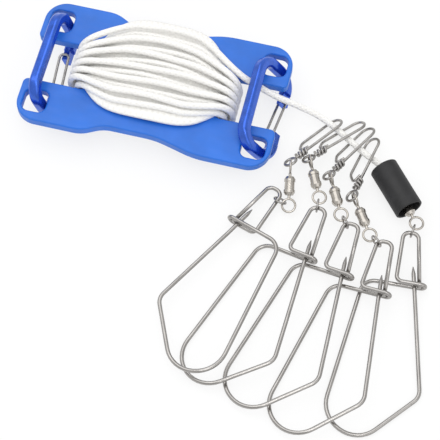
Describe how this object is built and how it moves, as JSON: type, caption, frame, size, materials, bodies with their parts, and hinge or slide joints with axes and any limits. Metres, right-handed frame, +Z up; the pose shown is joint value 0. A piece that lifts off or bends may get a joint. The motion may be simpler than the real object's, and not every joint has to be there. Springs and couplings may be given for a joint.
{
  "type": "fish stringer",
  "caption": "Fish stringer: flat winder board with wound rope, carabiners in its corner holes, a sleeved rope end and a cluster of bent-wire snaps on barrel swivels.",
  "frame": {"origin": "on the floor under the middle of the laid-out object's box, the rope left out", "axes": "+X along the winder board towards the rope's free end, +Y across the board away from the snaps, +Z up"},
  "size_m": [0.2426, 0.2092, 0.0298],
  "materials": {
    "board_blue": "satin moulded plastic",
    "carabiner_blue": "glossy moulded plastic",
    "gate_steel": "bright drawn wire",
    "rope": "braided cord",
    "sleeve_black": "matte soft sleeve",
    "snap_steel": "bright drawn wire",
    "swivel_nickel": "polished nickel plate",
    "clip_steel": "drawn wire"
  },
  "bodies": {
    "board": {"winder_board": "board_blue", "rope_core": "rope", "rope_winding": "rope", "rope_lead": "rope", "rope_knot": "rope"},
    "left_carabiner": {"left_carabiner_body": "carabiner_blue"},
    "left_gate": {"left_carabiner_gate": "gate_steel"},
    "right_carabiner": {"right_carabiner_body": "carabiner_blue"},
    "right_gate": {"right_carabiner_gate": "gate_steel"},
    "sleeve": {"end_sleeve": "sleeve_black"},
    "line_clip_1": {"line_clip_1": "clip_steel"},
    "swivel_1": {"swivel_1_upper_eye": "swivel_nickel", "swivel_1_lower_eye": "swivel_nickel"},
    "swivel_1_barrel": {"swivel_1_barrel": "swivel_nickel"},
    "snap_1": {"snap_1_frame": "snap_steel", "link_ring_1": "swivel_nickel"},
    "snap_1_pin": {"snap_1_pin": "snap_steel"},
    "line_clip_2": {"line_clip_2": "clip_steel"},
    "swivel_2": {"swivel_2_upper_eye": "swivel_nickel", "swivel_2_lower_eye": "swivel_nickel"},
    "swivel_2_barrel": {"swivel_2_barrel": "swivel_nickel"},
    "snap_2": {"snap_2_frame": "snap_steel", "link_ring_2": "swivel_nickel"},
    "snap_2_pin": {"snap_2_pin": "snap_steel"},
    "line_clip_3": {"line_clip_3": "clip_steel"},
    "swivel_3": {"swivel_3_upper_eye": "swivel_nickel", "swivel_3_lower_eye": "swivel_nickel"},
    "swivel_3_barrel": {"swivel_3_barrel": "swivel_nickel"},
    "snap_3": {"snap_3_frame": "snap_steel", "link_ring_3": "swivel_nickel"},
    "snap_3_pin": {"snap_3_pin": "snap_steel"},
    "line_clip_4": {"line_clip_4": "clip_steel"},
    "swivel_4": {"swivel_4_upper_eye": "swivel_nickel", "swivel_4_lower_eye": "swivel_nickel"},
    "swivel_4_barrel": {"swivel_4_barrel": "swivel_nickel"},
    "snap_4": {"snap_4_frame": "snap_steel", "link_ring_4": "swivel_nickel"},
    "snap_4_pin": {"snap_4_pin": "snap_steel"},
    "swivel_5": {"swivel_5_upper_eye": "swivel_nickel", "swivel_5_lower_eye": "swivel_nickel"},
    "swivel_5_barrel": {"swivel_5_barrel": "swivel_nickel"},
    "snap_5": {"snap_5_frame": "snap_steel", "link_ring_5": "swivel_nickel"},
    "snap_5_pin": {"snap_5_pin": "snap_steel"}
  },
  "joints": [
    {"name": "left_carabiner_swing", "type": "hinge", "parent": "board", "child": "left_carabiner", "pos_m": [-0.10885, 0.06658, 0.015], "axis": [0, -1, 0], "range_deg": [-34, 2]},
    {"name": "left_gate_spring", "type": "hinge", "parent": "left_carabiner", "child": "left_gate", "pos_m": [-0.10554, 0.05508, 0.00346], "axis": [0.9613, 0, 0.2756], "range_deg": [0, 15], "stiffness_Nm_per_rad": 0.03, "springref_deg": -11.46},
    {"name": "right_carabiner_swing", "type": "hinge", "parent": "board", "child": "right_carabiner", "pos_m": [0.00977, 0.06658, 0.015], "axis": [0, -1, 0], "range_deg": [-78, 2]},
    {"name": "right_gate_spring", "type": "hinge", "parent": "right_carabiner", "child": "right_gate", "pos_m": [0.01716, 0.07808, 0.00554], "axis": [-0.788, 0, -0.6157], "range_deg": [0, 15], "stiffness_Nm_per_rad": 0.03, "springref_deg": -11.46},
    {"name": "sleeve_slide", "type": "slide", "parent": "board", "child": "sleeve", "axis": [0.6455, -0.7638, 0], "range_m": [0, 0.004]},
    {"name": "line_clip_1_swing", "type": "hinge", "parent": "board", "child": "line_clip_1", "pos_m": [0.04667, 0.07078, 0.0041], "axis": [0.8808, -0.4698, -0.0587], "range_deg": [-1.5, 0.3]},
    {"name": "swivel_1_swing", "type": "hinge", "parent": "board", "child": "swivel_1", "pos_m": [0.02961, 0.04125, 0.01101], "axis": [0, 0, 1], "range_deg": [-1, 1]},
    {"name": "swivel_1_spin", "type": "hinge", "parent": "swivel_1", "child": "swivel_1_barrel", "pos_m": [0.03203, 0.02815, 0.00668], "axis": [0.1733, -0.9353, -0.3086], "continuous": true},
    {"name": "snap_1_swing", "type": "hinge", "parent": "swivel_1", "child": "snap_1", "pos_m": [0.03386, 0.01832, 0.00344], "axis": [0.0562, -0.3034, 0.9512], "range_deg": [-2.5, 2.5]},
    {"name": "snap_1_pin_spring", "type": "hinge", "parent": "snap_1", "child": "snap_1_pin", "pos_m": [-0.01759, -0.05417, 0.00675], "axis": [0.0512, -0.0069, -0.9987], "range_deg": [0, 10], "stiffness_Nm_per_rad": 0.15, "springref_deg": -5.73},
    {"name": "line_clip_2_swing", "type": "hinge", "parent": "board", "child": "line_clip_2", "pos_m": [0.05317, 0.06678, 0.004], "axis": [0.8494, -0.5278, 0], "range_deg": [-0.8, 1]},
    {"name": "swivel_2_swing", "type": "hinge", "parent": "board", "child": "swivel_2", "pos_m": [0.03859, 0.04593, 0.01058], "axis": [0, 0, 1], "range_deg": [-1, 1]},
    {"name": "swivel_2_spin", "type": "hinge", "parent": "swivel_2", "child": "swivel_2_barrel", "pos_m": [0.0444, 0.03376, 0.00946], "axis": [0.429, -0.8995, -0.083], "continuous": true},
    {"name": "snap_2_swing", "type": "hinge", "parent": "swivel_2", "child": "snap_2", "pos_m": [0.0487, 0.02473, 0.00863], "axis": [0.0357, -0.0749, 0.9965], "range_deg": [-2.5, 2.5]},
    {"name": "snap_2_pin_spring", "type": "hinge", "parent": "snap_2", "child": "snap_2_pin", "pos_m": [0.04276, -0.07288, 0.00803], "axis": [-0.1536, 0.0603, 0.9863], "range_deg": [0, 10], "stiffness_Nm_per_rad": 0.15, "springref_deg": -5.73},
    {"name": "line_clip_3_swing", "type": "hinge", "parent": "board", "child": "line_clip_3", "pos_m": [0.06067, 0.06208, 0.0041], "axis": [0.8447, -0.535, 0.0169], "range_deg": [-1.5, 1.2]},
    {"name": "swivel_3_swing", "type": "hinge", "parent": "board", "child": "swivel_3", "pos_m": [0.0513, 0.03865, 0.0105], "axis": [0, 0, 1], "range_deg": [-1, 1]},
    {"name": "swivel_3_spin", "type": "hinge", "parent": "swivel_3", "child": "swivel_3_barrel", "pos_m": [0.05736, 0.0266, 0.00929], "axis": [0.4475, -0.8898, -0.0899], "continuous": true},
    {"name": "snap_3_swing", "type": "hinge", "parent": "swivel_3", "child": "snap_3", "pos_m": [0.06185, 0.01767, 0.00838], "axis": [0.0404, -0.0803, 0.9959], "range_deg": [-2.5, 2.5]},
    {"name": "snap_3_pin_spring", "type": "hinge", "parent": "snap_3", "child": "snap_3_pin", "pos_m": [0.06674, -0.07811, 0.00803], "axis": [-0.1569, 0.0511, 0.9863], "range_deg": [0, 10], "stiffness_Nm_per_rad": 0.15, "springref_deg": -5.73},
    {"name": "line_clip_4_swing", "type": "hinge", "parent": "board", "child": "line_clip_4", "pos_m": [0.06817, 0.05728, 0.0043], "axis": [0.8421, -0.5389, 0.0225], "range_deg": [-1.5, 1.2]},
    {"name": "swivel_4_swing", "type": "hinge", "parent": "board", "child": "swivel_4", "pos_m": [0.06588, 0.02919, 0.01036], "axis": [0, 0, 1], "range_deg": [-1, 1]},
    {"name": "swivel_4_spin", "type": "hinge", "parent": "swivel_4", "child": "swivel_4_barrel", "pos_m": [0.0733, 0.01793, 0.00931], "axis": [0.5488, -0.8323, -0.0773], "continuous": true},
    {"name": "snap_4_swing", "type": "hinge", "parent": "swivel_4", "child": "snap_4", "pos_m": [0.07881, 0.00958, 0.00853], "axis": [0.0426, -0.0645, 0.997], "range_deg": [-2.5, 2.5]},
    {"name": "snap_4_pin_spring", "type": "hinge", "parent": "snap_4", "child": "snap_4_pin", "pos_m": [0.09106, -0.08408, 0.00876], "axis": [-0.1764, 0.0457, 0.9833], "range_deg": [0, 10], "stiffness_Nm_per_rad": 0.15, "springref_deg": -5.73},
    {"name": "swivel_5_swing", "type": "hinge", "parent": "board", "child": "swivel_5", "pos_m": [0.08603, 0.04114, 0.00655], "axis": [0, 0, 1], "range_deg": [-1, 1]},
    {"name": "swivel_5_spin", "type": "hinge", "parent": "swivel_5", "child": "swivel_5_barrel", "pos_m": [0.09475, 0.03083, 0.00635], "axis": [0.6454, -0.7637, -0.015], "continuous": true},
    {"name": "snap_5_swing", "type": "hinge", "parent": "swivel_5", "child": "snap_5", "pos_m": [0.1012, 0.02319, 0.0062], "axis": [0.0097, -0.0115, 0.9999], "range_deg": [-2.5, 2.5]},
    {"name": "snap_5_pin_spring", "type": "hinge", "parent": "snap_5", "child": "snap_5_pin", "pos_m": [0.11833, -0.07244, 0.0011], "axis": [0, 0, 1], "range_deg": [0, 10], "stiffness_Nm_per_rad": 0.15, "springref_deg": -5.73}
  ]
}
